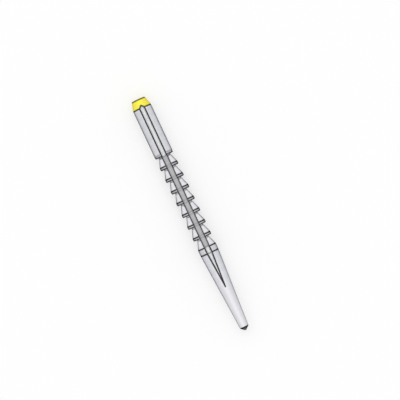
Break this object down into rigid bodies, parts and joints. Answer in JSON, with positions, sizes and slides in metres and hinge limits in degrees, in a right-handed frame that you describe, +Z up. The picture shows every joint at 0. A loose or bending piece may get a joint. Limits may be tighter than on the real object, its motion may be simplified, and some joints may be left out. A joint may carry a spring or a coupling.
{
  "type": "dental post",
  "caption": "Slender turned metal post for a tooth's root canal: plain head with a yellow end cone, a stack of cone barbs, a collar and a long smooth taper to a blunt tip.",
  "frame": {"origin": "on the surface that the post lies on, below the middle of its length", "axes": "+X along the post from its head to its tip, +Z up with one vent channel facing up and one facing down, +Y across the post"},
  "size_m": [0.015, 0.0012, 0.0011],
  "materials": {
    "post_metal": "fine-turned stainless steel, satin, with darker milled channel floors",
    "yellow_lacquer": "thin glossy lemon-yellow lacquer, baked on the end cone and end face"
  },
  "bodies": {
    "root": {"post": "post_metal", "colour_code_lacquer": "yellow_lacquer"}
  },
  "joints": []
}
